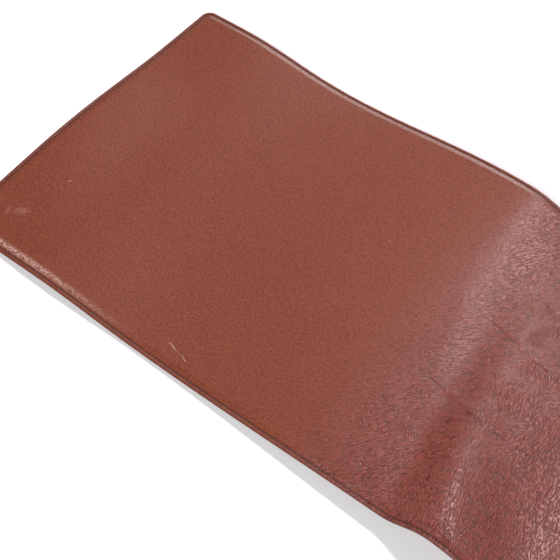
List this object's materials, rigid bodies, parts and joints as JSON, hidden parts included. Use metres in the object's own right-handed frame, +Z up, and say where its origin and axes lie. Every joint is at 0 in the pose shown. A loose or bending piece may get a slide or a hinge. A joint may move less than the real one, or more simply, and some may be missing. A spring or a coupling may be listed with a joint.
{
  "type": "desk mat",
  "caption": "Padded leather desk mat: turned-edge leather over foam and board, lined and sewn round its rim, lying in a gentle wave.",
  "frame": {"origin": "middle of the mat's footprint, on the surface that it lies on", "axes": "+X along the long side, from the end that lies flat towards the end beyond the bend; +Y from the front edge to the back edge; +Z up"},
  "size_m": [0.7, 0.35, 0.0348],
  "materials": {
    "top_leather": "fine grained, semi-gloss, worn at the shoulder",
    "lining": "sueded split leather, matt",
    "foam": "closed-cell foam sheet",
    "board": "bonded leather board",
    "thread": "waxed polyester thread",
    "tape": "woven reinforcing tape"
  },
  "bodies": {
    "root": {"top_leather": "top_leather", "lining": "lining", "padding": "foam", "stiffener": "board", "needle_thread": "thread", "bobbin_thread": "thread", "edge_tape_front": "tape", "edge_tape_back": "tape", "edge_tape_left": "tape", "edge_tape_right": "tape"}
  },
  "joints": []
}
